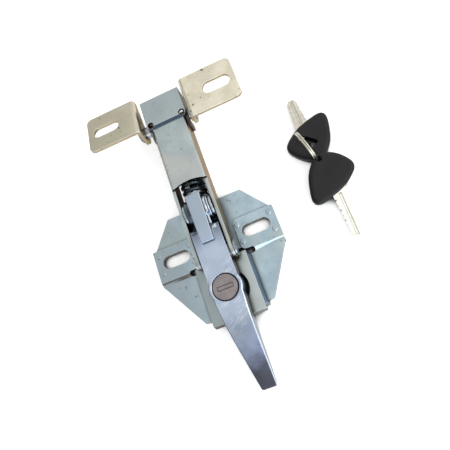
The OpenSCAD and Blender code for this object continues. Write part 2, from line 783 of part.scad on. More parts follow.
// Cross plate that the spring pushes on, welded between the flanges
module spring_seat() color("#a9b3b6") difference() {
    seat_low_z = spring_z - spring_d/2;
    translate([-arm_in_x, seat_y, seat_low_z])
        cube([2*arm_in_x, arm_sheet, arm_z - arm_sheet - seat_low_z]);
    translate([0, seat_y - over, spring_z]) rotate([-90, 0, 0])
        cylinder(r = rod_r + running_gap, h = arm_sheet + 2*over);
}

module guide_rod() color("#8d9296") translate([0, spring_y, spring_z]) rotate([-90, 0, 0])
    cylinder(r = rod_r, h = spring_len + arm_sheet + rod_tail);

module spring_plunger() color("#6c7176") translate([0, plunger_y, spring_z]) rotate([-90, 0, 0])
    cylinder(r = spring_d/2 - 0.4, h = plunger_t);

// Point on the spring's helix, with a closed end turn at each end
function coil_pitch(u) = spring_wire/2 + (spring_len - spring_wire)*u;
function coil_point(u, a) =
    let (turn = 360*spring_turns*u, mean_r = (spring_d - spring_wire)/2, r = mean_r + spring_wire/2*cos(a))
    [r*cos(turn), coil_pitch(u) + spring_wire/2*sin(a), r*sin(turn)];

module throw_spring() color("#30363a") translate([0, spring_y, spring_z]) {
    n = round(coil_steps*spring_turns);
    points = [for (i = [0:n], k = [0:wire_sides - 1]) coil_point(i/n, 360*k/wire_sides)];
    sides = [for (i = [0:n - 1], k = [0:wire_sides - 1]) let (j = (k + 1) % wire_sides)
        [i*wire_sides + k, i*wire_sides + j, (i + 1)*wire_sides + j, (i + 1)*wire_sides + k]];
    first_cap = [for (k = [0:wire_sides - 1]) wire_sides - 1 - k];
    last_cap = [for (k = [0:wire_sides - 1]) n*wire_sides + k];
    polyhedron(points, concat(sides, [first_cap, last_cap]));
}

// One keeper bracket on the +X side: slotted tab, bend and round ear
module keeper_bracket(bore_gap, tab_shift) {
    tab_mid_y = tab_y + tab_shift;
    tab_low_y = tab_mid_y - tab_w/2;
    difference() {
        union() {
            translate([ear_outer_x - keeper_sheet + bend_r, tab_low_y, tab_z - keeper_sheet])
                linear_extrude(keeper_sheet) tab_outline(tab_len + keeper_sheet - bend_r);
            // Bend from the tab down to the ear
            translate([ear_in_x + bend_r, tab_low_y + tab_w, tab_z - bend_r]) rotate([90, 0, 0])
                linear_extrude(tab_w) bend_section();
            side_extrude(ear_in_x, ear_outer_x) ear_profile(tab_low_y);
        }
        translate([tab_slot_x, tab_mid_y, tab_z - keeper_sheet - over])
            linear_extrude(keeper_sheet + 2*over) slot_outline(slot_r, slot_reach);
        translate([0, keeper_y, keeper_z])
            x_rod(keeper_pin_r + bore_gap, ear_in_x - over, ear_outer_x + over);
    }
}

// Quarter ring of the bracket's bend
module bend_section() {
    difference() {
        intersection() {
            circle(bend_r);
            translate([-bend_r, 0]) square(bend_r);
        }
        circle(bend_r - keeper_sheet);
    }
}

// Tab outline from its bend, with round outer corners
module tab_outline(len) {
    r = 4;
    square([len - r, tab_w]);
    translate([0, r]) square([len, tab_w - 2*r]);
    for (y = [r, tab_w - r]) translate([len - r, y]) circle(r);
}

module ear_profile(tab_low_y) {
    top_z = tab_z - bend_r + joined;
    translate([keeper_y, keeper_z]) circle(ear_r);
    polygon([[tab_low_y, top_z], [tab_low_y, top_z - 2], [keeper_y - ear_r, keeper_z],
        [keeper_y + ear_r, keeper_z], [tab_low_y + tab_w, top_z - 2], [tab_low_y + tab_w, top_z]]);
}

module keeper_bracket_right() color("#d8d2bc") keeper_bracket(seat_gap, 0);

module keeper_bracket_left() color("#d8d2bc")
    translate([0, keeper_y, keeper_z]) rotate([-left_tilt, 0, 0]) translate([0, -keeper_y, -keeper_z])
        mirror([1, 0, 0]) translate([left_slide, 0, 0]) keeper_bracket(running_gap, left_tab_shift);

// Pin that the hook pulls on, riveted into the right ear
module keeper_pin() color("#8d9296") translate([0, keeper_y, keeper_z]) {
    x_rod(keeper_pin_r, -keeper_tip_x, ear_outer_x + ring_t);
    x_rod(keeper_head_r, ear_outer_x, ear_outer_x + ring_t);
}

module keeper_pin_ring() color("#5c6166") translate([0, keeper_y, keeper_z])
    x_ring(keeper_head_r, keeper_pin_r + seat_gap, -ring_face_x - ring_t, -ring_face_x);

module place_key_1() {
    translate([key_1_at[0], key_1_at[1], 0]) children();
}

// The second key points the other way and rests on its blade's tip and on the first key's bow
module place_key_2() {
    translate([key_2_at[0], key_2_at[1], 0]) rotate([0, 0, 180])
        translate([0, blade_len_2, 0]) rotate([-key_2_lean, 0, 0]) translate([0, -blade_len_2, -blade_z])
            children();
}

// Double-coil ring stood through both bows, with its lower arc under them
module ring_shape(gap) {
    reach = ring_to - ring_from;
    middle = (ring_to + ring_from)/2;
    wire_r = ring_wire/2 + gap;
    coil_x = ring_wire/2 - ring_wire/20;
    translate([middle[0], middle[1], ring_wire/2]) rotate([0, 0, atan2(reach[1], reach[0])])
        rotate([90 - ring_lean, 0, 0]) translate([0, ring_r, 0])
            rotate_extrude() for (s = [-1, 1]) translate([ring_r, s*coil_x]) circle(wire_r, $fn = 16);
}

module split_ring() color("#b9bcbd") ring_shape(0);

// Bow from above: three round corners with bulging sides, drawn in by inset
module bow_outline(inset) {
    middle = (bow_corners[0] + bow_corners[1] + bow_corners[2])/3;
    hull() for (i = [0:2]) {
        p = bow_corners[i];
        q = bow_corners[(i + 1) % 3];
        side = (p + q)/2;
        out = (side - middle)/norm(side - middle);
        translate(p) circle(bow_r - inset, $fn = 32);
        translate(side + (bow_r + bow_bulge - bow_side_r)*out) circle(bow_side_r - inset, $fn = 96);
    }
}

module key_bow() {
    linear_extrude(bow_t) bow_outline(0);
}

// Slot between two points, cut right through the bow
module bow_slot(p, q, r) {
    d = q - p;
    translate([p[0], p[1], -over]) rotate([0, 0, atan2(d[1], d[0])]) linear_extrude(bow_t + 2*over) {
        circle(r);
        translate([0, -r]) square([norm(d), 2*r]);
        translate([norm(d), 0]) circle(r);
    }
}

module key_bow_1() color("#2f2c2d") difference() {
    place_key_1() difference() {
        key_bow();
        bow_slot(tee_bar_ends[0], tee_bar_ends[1], tee_r);
        bow_slot(tee_bar_ends[1], tee_stem_end, tee_r);
        blade_socket(blade_len_1);
    }
    ring_shape(ring_gap);
}

module key_bow_2() color("#2f2c2d") difference() {
    place_key_2() difference() {
        key_bow();
        translate([apex_hole[0], apex_hole[1], -over]) cylinder(r = apex_hole_r, h = bow_t + 2*over);
        blade_socket(blade_len_2);
    }
    ring_shape(ring_gap);
}

module blade_socket(len) {
    translate([-blade_w/2 - seat_gap, -blade_root, blade_z - seat_gap])
        cube([blade_w + 2*seat_gap, blade_root + len, blade_t + 2*seat_gap]);
}

// Flat blade that tapers to its tip, with a milled groove on each face and stepped edges
module key_blade(len) {
    tip = 3;
    groove_w = 1.8;
    groove_depth = 0.6;
    cut_pitch = 3.4;
    cut_count = floor((len - 2*tip)/cut_pitch);
    cut_sides = [1.4, 0.7, 1.8, 1.1];
    root_half_w = blade_w/2;
    tip_half = blade_tip_w/2;
    difference() {
        translate([0, 0, blade_z]) linear_extrude(blade_t)
            polygon([[-root_half_w, -blade_root], [root_half_w, -blade_root], [root_half_w, 0],
                [tip_half, len - tip], [tip_half/2, len], [-tip_half/2, len], [-tip_half, len - tip],
                [-root_half_w, 0]]);
        for (z = [blade_z - over, blade_z + blade_t - groove_depth])
            translate([-groove_w/2, 1, z]) cube([groove_w, len, groove_depth + over]);
        for (s = [-1, 1], i = [0:cut_count - 1]) {
            y = tip + (i + 0.5)*cut_pitch;
            x = root_half_w + (tip_half - root_half_w)*y/(len - tip);
            translate([s*x, y, blade_z - over]) rotate([0, 0, 45])
                cube([cut_sides[i % 4], cut_sides[i % 4], 2*blade_t + 4*over], center = true);
        }
    }
}

module key_blade_1() color("#d9d8d0") place_key_1() key_blade(blade_len_1);

module key_blade_2() color("#d9d8d0") place_key_2() key_blade(blade_len_2);

mounting_plate();
pivot_bracket();
lock_pan();
pivot_pin();
keeper_bracket_right();
keeper_pin();
keeper_pin_ring();
keeper_bracket_left();
handle();
hub_bushes();
arm_pin();
arm_pin_washers();
arm_pin_rings();
lock_barrel();
barrel_screw();
lock_plug();
wafer_tumblers();
dust_shutter();
locking_cam();
cam_washer();
cam_screw();
hook_arm();
spring_seat();
throw_spring();
spring_plunger();
guide_rod();
key_bow_1();
key_blade_1();
key_bow_2();
key_blade_2();
split_ring();
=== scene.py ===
import json
import math

import bmesh
import bpy
from mathutils import Matrix, Vector
from mathutils.geometry import convex_hull_2d


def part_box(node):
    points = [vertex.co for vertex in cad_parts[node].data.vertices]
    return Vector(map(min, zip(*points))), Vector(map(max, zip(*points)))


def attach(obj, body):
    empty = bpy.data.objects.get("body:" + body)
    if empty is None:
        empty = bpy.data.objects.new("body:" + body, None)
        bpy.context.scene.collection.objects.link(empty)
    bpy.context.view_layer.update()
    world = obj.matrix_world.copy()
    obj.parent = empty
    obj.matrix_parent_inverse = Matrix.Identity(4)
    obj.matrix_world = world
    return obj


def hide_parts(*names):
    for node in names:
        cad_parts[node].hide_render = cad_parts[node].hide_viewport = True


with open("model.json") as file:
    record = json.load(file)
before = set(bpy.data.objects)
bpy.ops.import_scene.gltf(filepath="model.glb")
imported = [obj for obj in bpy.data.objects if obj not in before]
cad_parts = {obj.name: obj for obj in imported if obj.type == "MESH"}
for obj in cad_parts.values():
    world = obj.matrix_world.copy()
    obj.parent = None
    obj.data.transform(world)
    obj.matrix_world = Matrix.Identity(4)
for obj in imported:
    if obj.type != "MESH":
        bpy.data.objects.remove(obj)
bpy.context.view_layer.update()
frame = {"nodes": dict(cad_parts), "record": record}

MM = 0.001
RECORD = frame["record"]
BODY_OF = {node: body for body, nodes in RECORD["behaviour"]["bodies"].items() for node in nodes}
SLOT_OF = {part["node"]: part["material_slot"] for part in RECORD["subparts"]}

# Camera: where it stands, which way it looks and which way its right side points
CAMERA_AT = Vector((50.5, -85.3, 276.9)) * MM
CAMERA_FORWARD = Vector((-0.1394, 0.3242, -0.9357))
CAMERA_RIGHT = Vector((0.9137, -0.3220, -0.2477))
SENSOR = 36
LENS = 35.35

# Places on the lock, in metres: X runs across it, Y towards the hook and Z out of the mounting face
FACE_LOW, FACE_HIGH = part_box("lock_plug")
FACE_R = (FACE_HIGH[0] - FACE_LOW[0]) / 2
LOCK_Y = (FACE_LOW[1] + FACE_HIGH[1]) / 2
TIP_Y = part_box("handle")[0][1]
HUB_Y = 19.5 * MM    # the handle's pivot
PAN_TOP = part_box("lock_pan")[1][2]
ARM_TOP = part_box("hook_arm")[1][2]

# Where the finishes change: a pair is where a change starts and where it is complete
# where the painted shade towards the left comes in
LEFT_X = (0.0, -40 * MM)
# where the painted shade on the arm's head comes in
HEAD_Y = (60 * MM, 100 * MM)
# where the arm's joggle lies, which carries a painted dark blue reflection
JOGGLE_Y = (76 * MM, 88 * MM)
JOGGLE_Z = (ARM_TOP - 5 * MM, ARM_TOP - 3 * MM)
CHANNEL_Z = (PAN_TOP - 2.5 * MM, PAN_TOP - 1 * MM)
# across the raised channel, from its cream tone to the painted shade at its left
CHANNEL_LEFT_X = (2 * MM, -12 * MM)
# where the painted shade on the pan's left step comes in
LEFT_STEP_X = (-4 * MM, -12 * MM)
VIOLET_Y = (TIP_Y + 40 * MM, TIP_Y + 18 * MM)
# where the painted shade on the handle's tip comes in; it has a ragged edge
SHADED_TIP_Y = (TIP_Y + 32 * MM, TIP_Y + 7 * MM)
SHADED_TIP_RAGGED = 4 * MM
TONGUE_Y = (HUB_Y - 30 * MM, HUB_Y - 8 * MM)
# beside the tongue's foot, where the hub carries a painted dark reflection
TONGUE_FOOT_X = (4.9 * MM, 5.4 * MM)
SCRATCHED_MIDDLE_Y = LOCK_Y - 5 * MM
SCRATCHED_REACH = (28 * MM, 12 * MM)      # to either side of that middle
SCRATCH_TURN = math.radians(-30)
KEY_SLOT_HALF = (4.95 * MM, 1.25 * MM)    # half its length and half its width
KEY_SLOT_LINE = (0.34 * MM, 0.12 * MM)
FACE_RIM_R = (FACE_R - 0.45 * MM, FACE_R - 0.2 * MM)
TURNED_PITCH = 0.22 * MM                  # between the lock face's turned rings


def srgb(r, g, b):
    """A linear colour from 0-255 screen values."""
    def linear(c):
        c /= 255
        return c / 12.92 if c <= 0.04045 else ((c + 0.055) / 1.055) ** 2.4
    return (linear(r), linear(g), linear(b), 1.0)


# Node trees

class Nodes:
    """A node tree, with short calls for the nodes that the materials and the world share."""

    def __init__(self, owner):
        owner.use_nodes = True
        self.tree = owner.node_tree
        self.coords = self.add("ShaderNodeTexCoord").outputs

    def add(self, kind, inputs=(), **settings):
        """A new node; its inputs are given by name or by number."""
        node = self.tree.nodes.new(kind)
        for key, value in settings.items():
            setattr(node, key, value)
        for socket, value in dict(inputs).items():
            self.put(node.inputs[socket], value)
        return node

    def put(self, socket, value):
        """Links a socket to another node's output, or sets its value."""
        if isinstance(value, bpy.types.NodeSocket):
            self.tree.links.new(value, socket)
        else:
            socket.default_value = value

    def math(self, operation, a, b=0.0):
        return self.add("ShaderNodeMath", {0: a, 1: b}, operation=operation).outputs[0]

    def times(self, a, b):
        return self.math("MULTIPLY", a, b)

    def plus(self, a, b):
        return self.math("ADD", a, b)

    def vector(self, operation, inputs, output="Vector"):
        return self.add("ShaderNodeVectorMath", inputs, operation=operation).outputs[output]

    def between(self, value, low, high, to_low=0.0, to_high=1.0):
        """Smooth step from to_low, where the value is low, to to_high, where it is high."""
        inputs = {"Value": value, "From Min": low, "From Max": high, "To Min": to_low, "To Max": to_high}
        return self.add("ShaderNodeMapRange", inputs, interpolation_type="SMOOTHSTEP").outputs["Result"]


class Graph(Nodes):
    """A material's nodes round its Principled shader."""

    def __init__(self, name):
        self.material = bpy.data.materials.new(name)
        super().__init__(self.material)
        self.shader = self.tree.nodes["Principled BSDF"]
        self.place = self.coords["Object"]
        self.facing = self.coords["Normal"]

    def set(self, **inputs):
        """Sets the shader's sockets; an underscore in a name stands for a space."""
        for name, value in inputs.items():
            self.put(self.shader.inputs[name.replace("_", " ")], value)

    def axis(self, index, vector=None):
        """One coordinate of a vector, or of the place on the piece."""
        parts = self.add("ShaderNodeSeparateXYZ", {"Vector": vector or self.place})
        return parts.outputs[index]

    def size(self, value):
        """A value without its sign."""
        return self.math("ABSOLUTE", value)

    def stretched(self, scale, turn):
        """Object coordinates turned and then scaled along each axis."""
        turned = self.add("ShaderNodeMapping", {"Vector": self.place, "Rotation": turn})
        return self.add("ShaderNodeMapping", {"Vector": turned.outputs[0], "Scale": scale}).outputs[0]

    def noise(self, scale, detail, vector=None, rough=0.55):
        inputs = {"Vector": vector or self.place, "Scale": scale, "Detail": detail, "Roughness": rough}
        return self.add("ShaderNodeTexNoise", inputs).outputs["Fac"]

    def wander(self, scale, detail, low=0.0, high=1.0):
        """A value that drifts between two limits over the surface."""
        return self.between(self.noise(scale, detail), 0.3, 0.7, low, high)

    def mix(self, share, a, b):
        """Colour a where the share is 0 and colour b where it is 1."""
        node = self.add("ShaderNodeMix", data_type="RGBA")
        self.put(node.inputs["Factor"], share)
        self.put(node.inputs[6], a)
        self.put(node.inputs[7], b)
        return node.outputs[2]

    def over(self, colour, tone, where, share=1.0):
        """A colour with a tone laid over it where a mask is 1, as strongly as the share says."""
        return self.mix(self.times(where, share), colour, tone)

    def bump(self, height, strength, distance):
        inputs = {"Height": height, "Strength": strength, "Distance": distance}
        self.set(Normal=self.add("ShaderNodeBump", inputs).outputs[0])

    def open_sky(self, reach, samples):
        """1 in the open, and less where things within reach hem the surface in."""
        return self.add("ShaderNodeAmbientOcclusion", {"Distance": reach}, samples=samples).outputs["AO"]

    def crevice(self, reach):
        """1 deep in corners, 0 in the open."""
        return self.between(self.open_sky(reach, 8), 0.88, 0.52)

    def falling(self):
        """1 on faces that look along the lock away from the hook, 0 on level ones."""
        return self.between(self.axis(1, self.facing), -0.3, -0.6)

    def edge(self):
        """1 on rounded edges, 0 on flats."""
        return self.add("ShaderNodeAttribute", attribute_name="edge").outputs["Fac"]


# Finishes

def zinc(name, pale, deep, stain, left=None, head=None, raised=None, wall=None, side=None, joggle=None,
         left_step=None, specks=0.35, reach=4 * MM, corner_shade=srgb(84, 76, 68), rim=(0.72, 0.70, 0.66, 1.0)):
    """Zinc-plated sheet: cloudy plating, stains, specks, bright edges and dark corners.

    The bright edges are rubbed wear with a painted highlight, and the dark corners are painted shade.
    Tones laid over the plating: a painted shade towards the left and towards the hook; on the pan's raised
    channel a cream tone at its right and a painted shade at its left; a painted dark reflection on upright
    faces, on side faces and on the arm's joggle; and a painted shade on the pan's left step. The rim is the
    tint of its gloss at a glancing angle.
    """
    g = Graph(name)
    cloud = g.between(g.noise(75, 5, rough=0.65), 0.36, 0.64)
    colour = g.mix(cloud, pale, deep)
    patches = g.between(g.noise(30, 3), 0.5, 0.7)
    colour = g.over(colour, stain, patches, 0.6)
    # painted shade: darker towards the left
    if left:
        colour = g.over(colour, left, g.between(g.axis(0), *LEFT_X), 0.75)
    # painted shade: darker towards the hook
    if head:
        colour = g.over(colour, head, g.between(g.axis(1), *HEAD_Y), 0.8)
    # the raised channel: a cream tone at its right and a painted shade at its left
    if raised:
        tone = g.mix(g.between(g.axis(0), *CHANNEL_LEFT_X), *raised)
        colour = g.over(colour, tone, g.between(g.axis(2), *CHANNEL_Z), 0.75)
    # painted dark brown reflection on upright faces
    if wall:
        upright = g.between(g.size(g.axis(2, g.facing)), 0.4, 0.15)
        colour = g.over(colour, wall, upright, 0.8)
    # painted reflection on faces that look to either side; past the joggle it takes the joggle's dark blue
    if side:
        sideways = g.between(g.size(g.axis(0, g.facing)), 0.6, 0.95)
        tone = g.mix(g.between(g.axis(1), *JOGGLE_Y), side, joggle) if joggle else side
        colour = g.over(colour, tone, sideways, 0.85)
    # painted dark blue reflection on the arm's joggle, the step up to the head
    if joggle:
        on_joggle = g.times(g.falling(), g.between(g.axis(2), *JOGGLE_Z))
        colour = g.over(colour, joggle, on_joggle, 0.9)
    # painted shade on the pan's left step
    if left_step:
        on_step = g.times(g.falling(), g.between(g.axis(0), *LEFT_STEP_X))
        colour = g.over(colour, left_step, on_step, 0.9)
    spots = g.between(g.noise(300, 1), 0.71, 0.74)
    colour = g.over(colour, srgb(72, 66, 60), spots, specks)
    # bright edges: rubbed wear with a painted highlight
    colour = g.over(colour, srgb(236, 240, 240), g.edge(), 0.4)
    # painted shade: darker in corners and recesses, where things within reach hem the surface in
    colour = g.over(colour, corner_shade, g.crevice(reach))
    g.set(Base_Color=colour, Metallic=1.0, Specular_Tint=rim)
    g.set(Roughness=g.wander(80, 3, 0.30, 0.40))
    g.bump(g.noise(60, 2), 0.08, 0.4 * MM)
    return g.material


def polished_casting(name):
    """Bright casting: cloudy polish and slanted scratches round the lock, with painted shade on its flanks
    and its tip, a painted dark reflection on the hub beside the tongue and a painted highlight along its
    right-hand edges.
    """
    g = Graph(name)
    cloud = g.between(g.noise(40, 4), 0.34, 0.66)
    colour = g.mix(cloud, srgb(184, 197, 214), srgb(164, 178, 200))
    along = g.axis(1)
    colour = g.over(colour, srgb(150, 157, 186), g.between(along, *VIOLET_Y), 0.7)
    # painted shade on the tip, where the handle curves down
    ragged = g.between(g.noise(130, 4), 0.2, 0.8, -SHADED_TIP_RAGGED, SHADED_TIP_RAGGED)
    shaded_tip = g.between(g.plus(along, ragged), *SHADED_TIP_Y)
    colour = g.over(colour, srgb(72, 73, 78), shaded_tip, 0.92)
    tongue = g.between(along, *TONGUE_Y)
    colour = g.over(colour, srgb(156, 170, 182), tongue, 0.7)
    # painted dark reflection on the hub on either side of the tongue
    beside = g.between(g.size(g.axis(0)), *TONGUE_FOOT_X)
    colour = g.over(colour, srgb(54, 62, 78), g.times(tongue, beside), 0.75)

    from_lock = g.size(g.math("SUBTRACT", along, SCRATCHED_MIDDLE_Y))
    near_lock = g.between(from_lock, *SCRATCHED_REACH)
    lines = g.noise(1500, 1, g.stretched((0.05, 1.0, 1.0), (0, 0, SCRATCH_TURN)))
    groups = g.between(g.noise(110, 1), 0.36, 0.5)
    scratch = g.times(g.times(g.between(lines, 0.54, 0.66), near_lock), groups)
    colour = g.over(colour, srgb(236, 242, 248), scratch, 0.55)

    upward = g.axis(2, g.facing)
    rightward = g.axis(0, g.facing)
    # painted shade on steep flanks
    colour = g.over(colour, srgb(78, 80, 88), g.between(upward, 0.45, 0.2), 0.75)
    # painted highlight on edges that face right and up
    lit = g.times(g.between(rightward, 0.25, 0.6), g.between(upward, 0.1, 0.4))
    colour = g.over(colour, srgb(226, 236, 248), lit, 0.85)
    # painted shade on faces that look left
    colour = g.over(colour, srgb(92, 98, 110), g.between(rightward, -0.25, -0.6), 0.8)
    g.set(Base_Color=colour, Metallic=1.0)
    g.set(Roughness=g.wander(90, 3, 0.22, 0.32))
    g.bump(g.noise(70, 2), 0.06, 0.4 * MM)
    return g.material


def satin_face(name):
    """Lock face: fine turned rings, a darker rim and a dark line round the key slot."""
    g = Graph(name)
    x = g.axis(0)
    y = g.math("SUBTRACT", g.axis(1), LOCK_Y)
    radius = g.math("SQRT", g.plus(g.times(x, x), g.times(y, y)))
    turned = g.math("SINE", g.times(radius, 2 * math.pi / TURNED_PITCH))
    colour = g.mix(g.wander(160, 4), srgb(160, 152, 152), srgb(140, 133, 133))
    past_end = g.math("SUBTRACT", g.size(x), KEY_SLOT_HALF[0])
    past_side = g.math("SUBTRACT", g.size(y), KEY_SLOT_HALF[1])
    from_slot = g.size(g.math("MAXIMUM", past_end, past_side))
    colour = g.over(colour, srgb(84, 78, 80), g.between(from_slot, *KEY_SLOT_LINE), 0.8)
    colour = g.over(colour, srgb(44, 42, 46), g.between(radius, *FACE_RIM_R), 0.85)
    g.set(Base_Color=colour, Metallic=1.0)
    g.set(Roughness=g.between(turned, -1.0, 1.0, 0.36, 0.46))
    g.bump(turned, 0.06, 0.05 * MM)
    return g.material


def bright_metal(name, pale, deep, rough=(0.2, 0.34)):
    """Plain turned or drawn metal with a slightly uneven surface, bright edges that are rubbed wear with a
    painted highlight, and painted shade in its corners.
    """
    g = Graph(name)
    colour = g.mix(g.wander(260, 4), pale, deep)
    # bright edges: rubbed wear with a painted highlight
    colour = g.over(colour, srgb(240, 240, 236), g.edge(), 0.5)
    # painted shade: darker in corners and recesses
    colour = g.over(colour, srgb(110, 106, 100), g.crevice(1.2 * MM))
    g.set(Base_Color=colour, Metallic=1.0)
    g.set(Roughness=g.wander(700, 3, *rough))
    g.bump(g.noise(500, 2), 0.05, 0.1 * MM)
    return g.material


def black_steel(name):
    """Oiled black spring steel."""
    g = Graph(name)
    cloud = g.between(g.noise(300, 4), 0.35, 0.65)
    g.set(Base_Color=g.mix(cloud, srgb(48, 57, 64), srgb(82, 94, 104)), Metallic=0.85)
    g.set(Roughness=g.wander(900, 3, 0.22, 0.42))
    g.bump(g.noise(600, 2), 0.06, 0.1 * MM)
    return g.material


def soft_plastic(name):
    """Black moulded plastic with a fine grain and a painted shade where it curves down."""
    g = Graph(name)
    colour = g.mix(g.wander(90, 4), srgb(29, 25, 26), srgb(22, 19, 20))
    # painted shade where the surface turns away from up
    sloping = g.between(g.axis(2, g.facing), 0.97, 0.75)
    colour = g.over(colour, srgb(9, 8, 8), sloping)
    g.set(Base_Color=colour, Specular_IOR_Level=0.3)
    g.set(Roughness=g.wander(1200, 2, 0.42, 0.55))
    g.bump(g.noise(1500, 2), 0.10, 0.1 * MM)
    return g.material


BLUE_ZINC = {
    "pale": srgb(176, 195, 205),
    "deep": srgb(160, 180, 190),
    "stain": srgb(178, 187, 182),
    # painted dark brown reflection on upright faces
    "wall": srgb(112, 106, 98),
    # painted shade towards the left
    "left": srgb(156, 168, 172),
}
NICKEL_ROUGH = (0.26, 0.38)

# By material slot
FINISHES = {
    # side: painted dark brown reflection on side faces
    "base_zinc": zinc("base_zinc", side=srgb(124, 114, 100), **BLUE_ZINC),
    "arm_zinc": zinc("arm_zinc", srgb(184, 193, 192), srgb(166, 178, 180), srgb(188, 188, 184),
                     # side is a painted tan reflection, joggle a painted dark blue reflection and head a
                     # painted shade towards the hook
                     side=srgb(140, 110, 74), joggle=srgb(52, 72, 98), head=srgb(158, 170, 172),
                     reach=12 * MM, corner_shade=srgb(74, 56, 48), rim=(0.66, 0.58, 0.48, 1.0)),
    "keeper_zinc": zinc("keeper_zinc", srgb(226, 220, 200), srgb(208, 201, 180), srgb(198, 190, 172),
                        # wall is a painted dark brown reflection on upright faces, and left a painted shade
                        # towards the left
                        wall=srgb(150, 128, 94), left=srgb(188, 184, 162), specks=0.9),
    "cast_handle": polished_casting("cast_handle"),
    "lock_face": satin_face("lock_face"),
    "pin_steel": bright_metal("pin_steel", srgb(190, 194, 198), srgb(150, 156, 162)),
    "bush_brass": bright_metal("bush_brass", srgb(206, 176, 104), srgb(178, 144, 78)),
    "spring_black": black_steel("spring_black"),
    "bow_plastic": soft_plastic("bow_plastic"),
    "key_nickel": bright_metal("key_nickel", srgb(214, 210, 196), srgb(190, 186, 172), NICKEL_ROUGH),
}

# Nodes whose finish differs from the rest of their slot
OWN_FINISH = {
    # side is a painted blue reflection on side faces, left_step a painted shade on the left step
    "lock_pan": zinc("pan_zinc", side=srgb(124, 146, 168), left_step=srgb(92, 84, 76),
                     # raised: a cream tone at the channel's right, a painted shade at its left
                     raised=(srgb(186, 193, 188), srgb(150, 158, 156)), **BLUE_ZINC),
    "key_blade_2": bright_metal("pale_nickel", srgb(252, 252, 244), srgb(238, 236, 224), NICKEL_ROUGH),
}


def finish_of(node):
    return OWN_FINISH.get(node, FINISHES[SLOT_OF[node]])


def finish_piece(piece, node):
    """Gives a piece the node's body and finish, and lets it stand for the node."""
    piece.data.materials.clear()
    piece.data.materials.append(finish_of(node))
    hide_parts(node)
    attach(piece, BODY_OF[node])


# Mesh helpers

SMOOTH_UNDER = math.radians(38)    # shading runs smoothly over edges that turn less than this


def linked(name, data):
    """A new object in the scene."""
    obj = bpy.data.objects.new(name, data)
    bpy.context.scene.collection.objects.link(obj)
    return obj


def applied(obj):
    """An object's mesh with its modifiers applied; the object itself goes."""
    bpy.context.view_layer.update()
    mesh = bpy.data.meshes.new_from_object(obj.evaluated_get(bpy.context.evaluated_depsgraph_get()))
    bpy.data.objects.remove(obj)
    return mesh


def as_mesh(bm, name):
    """A bmesh's mesh; the bmesh itself goes."""
    mesh = bpy.data.meshes.new(name)
    bm.to_mesh(mesh)
    bm.free()
    return mesh


def placed(mesh, node):
    """Puts a new mesh in the scene in place of a node."""
    mesh.name = node + "_form"
    mesh.shade_smooth()
    mesh.set_sharp_from_angle(angle=SMOOTH_UNDER)
    piece = linked(node + "_form", mesh)
    weighted = piece.modifiers.new("weighted", "WEIGHTED_NORMAL")
    weighted.keep_sharp = True
    finish_piece(piece, node)


# Rounded edges of sheets, casting and key blades

# The most that a piece's edges are rounded by
ROUNDED = {
    "mounting_plate": 0.25 * MM,
    "pivot_bracket": 0.25 * MM,
    "lock_pan": 0.15 * MM,
    "hook_arm": 0.12 * MM,
    "keeper_bracket_right": 0.25 * MM,
    "keeper_bracket_left": 0.25 * MM,
    "handle": 0.9 * MM,
    "key_blade_1": 0.12 * MM,
    "key_blade_2": 0.12 * MM,
}
BLADES = ("key_blade_1", "key_blade_2")
WELD = 0.004 * MM                  # points closer than this are merged
BLADE_WELD = 0.1 * MM
FLAT_UNDER = math.radians(1)       # faces that turn less than this are merged
SHARP_OVER = math.radians(25)      # outer edges that turn more than this are rounded
EDGE_SEGMENTS = 3
EDGE_SLOT = 1                      # material slot that marks the rounding's own faces
FREE_SHARE = 0.9                   # share of the free room that a rounding may take up
TOUCHING = 0.001 * MM              # an edge nearer than this isn't across the face
STEEP_SINE = 0.3                   # end edges more nearly in line than this set no limit
LEAST_SHRINK = 0.01                # rounded ends that take up less than this are left out
EASING_STEPS = 6                   # how many edges away from a narrow one the widths are held
EASING = 1.25                      # the most that they grow by at each step


def room(face, edge, chosen):
    """How far an edge can be rounded into a face before it meets another rounded edge or a corner."""
    loop = next(each for each in face.loops if each.edge == edge)
    after = loop.link_loop_next
    along = (after.vert.co - loop.vert.co).normalized()
    inward = face.normal.cross(along)
    middle = (loop.vert.co + after.vert.co) / 2
    limit = math.inf

    # Straight across the face from the edge's middle
    for other in face.loops:
        start = other.vert.co - middle
        end = other.link_loop_next.vert.co - middle
        before = start.dot(along)
        beyond = end.dot(along)
        if other.edge != edge and (before > 0) != (beyond > 0):
            depth = start.lerp(end, before / (before - beyond)).dot(inward)
            if depth > TOUCHING:
                free = depth / 2 if other.edge in chosen else depth
                limit = min(limit, FREE_SHARE * free)

    # Along the edges at its two ends, and what is left of the edge itself between two rounded ones
    shrink = 0.0
    for corner, near in ((loop, loop.link_loop_prev.edge), (after, after.edge)):
        angle = corner.calc_angle()
        if near not in chosen and math.sin(angle) > STEEP_SINE:
            limit = min(limit, FREE_SHARE * near.calc_length() * math.sin(angle))
        if near in chosen and corner.is_convex:
            shrink += 1 / math.tan(angle / 2)
    if shrink > LEAST_SHRINK:
        limit = min(limit, FREE_SHARE * edge.calc_length() / shrink)
    return limit


def evened(widths):
    """Edge widths that grow in small steps away from a narrow edge."""
    for _ in range(EASING_STEPS):
        eased = {}
        for edge, width in widths.items():
            narrowest = min(widths[near] for end in edge.verts for near in end.link_edges if near in widths)
            eased[edge] = min(width, EASING * narrowest)
        widths = eased
    return widths


